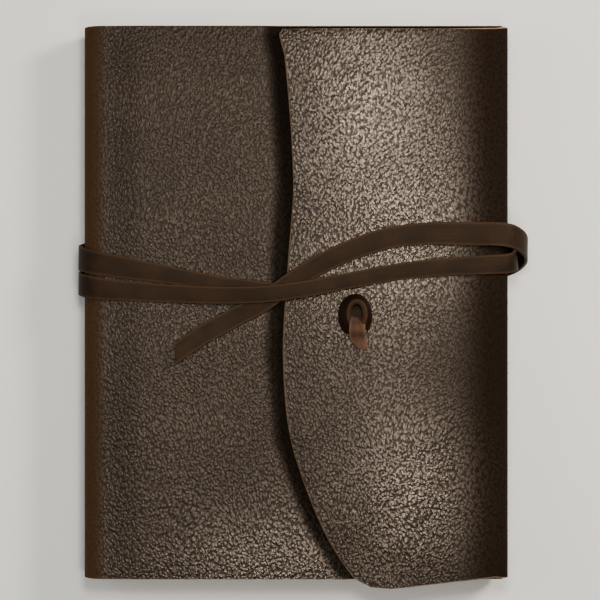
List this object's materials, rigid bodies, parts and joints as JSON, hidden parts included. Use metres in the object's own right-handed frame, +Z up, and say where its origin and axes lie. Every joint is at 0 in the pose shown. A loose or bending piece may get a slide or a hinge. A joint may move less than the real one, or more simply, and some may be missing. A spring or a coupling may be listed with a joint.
{
  "type": "sketchbook",
  "caption": "Soft leather wrap sketchbook with a curved fold-over flap, sewn drawing paper inside, tied shut with a long flat leather lace.",
  "frame": {"origin": "on the table, at the middle of the footprint of the closed, tied book", "axes": "+Z up from the back cover to the front, +X from the spine to the fore edge, +Y from tail to head"},
  "size_m": [0.1878, 0.2334, 0.0356],
  "materials": {
    "hide": "pebbled dark brown hide with a waxy sheen",
    "lace": "smooth dark brown lace, slightly redder than the hide",
    "drawing_paper": "uncoated cream drawing paper",
    "endpaper": "heavier tan endpaper",
    "linen_tape": "plain woven linen",
    "linen_thread": "waxed linen thread"
  },
  "bodies": {
    "back": {"back_cover": "hide", "spine_panel": "hide", "back_endpaper": "endpaper", "front_signature_folds": "drawing_paper", "sewing_tapes": "linen_tape", "sewing_thread": "linen_thread", "signature_1": "drawing_paper", "signature_2": "drawing_paper", "signature_3": "drawing_paper", "signature_4": "drawing_paper", "signature_5": "drawing_paper"},
    "fore_edge": {"fore_edge_panel": "hide"},
    "flap": {"flap": "hide", "tie_lace": "lace", "tie_knot": "lace", "tie_tail": "lace"},
    "front": {"front_cover": "hide", "front_endpaper": "endpaper"},
    "leaves_8": {"turning_leaves_8": "drawing_paper"},
    "leaves_7": {"turning_leaves_7": "drawing_paper"},
    "leaves_6": {"turning_leaves_6": "drawing_paper"}
  },
  "joints": [
    {"name": "fore_edge_fold", "type": "hinge", "parent": "back", "child": "fore_edge", "pos_m": [0.08514, 0.00171, 0.0019], "axis": [0, 1, 0], "range_deg": [0, 90]},
    {"name": "flap_fold", "type": "hinge", "parent": "fore_edge", "child": "flap", "pos_m": [0.08514, 0.00171, 0.0309], "axis": [0, 1, 0], "range_deg": [0, 84], "deforming": ["tie_lace"]},
    {"name": "cover_fold", "type": "hinge", "parent": "back", "child": "front", "pos_m": [-0.08286, 0.00171, 0.0273], "axis": [0, -1, 0], "range_deg": [0, 189], "deforming": ["flap", "tie_knot", "tie_tail"]},
    {"name": "leaves_8_turn", "type": "hinge", "parent": "back", "child": "leaves_8", "pos_m": [-0.08186, 0.00171, 0.0274], "axis": [0, -1, 0], "range_deg": [0, 186.26]},
    {"name": "leaves_7_turn", "type": "hinge", "parent": "back", "child": "leaves_7", "pos_m": [-0.08186, 0.00171, 0.0274], "axis": [0, -1, 0], "range_deg": [0, 183.43]},
    {"name": "leaves_6_turn", "type": "hinge", "parent": "back", "child": "leaves_6", "pos_m": [-0.08186, 0.00171, 0.0274], "axis": [0, -1, 0], "range_deg": [0, 179.65]}
  ],
  "couplings": [
    {"joint": "fore_edge_fold", "follows": "flap_fold", "ratio": 1.0714},
    {"joint": "leaves_8_turn", "follows": "cover_fold", "ratio": 0.985},
    {"joint": "leaves_7_turn", "follows": "cover_fold", "ratio": 0.97},
    {"joint": "leaves_6_turn", "follows": "cover_fold", "ratio": 0.95}
  ]
}
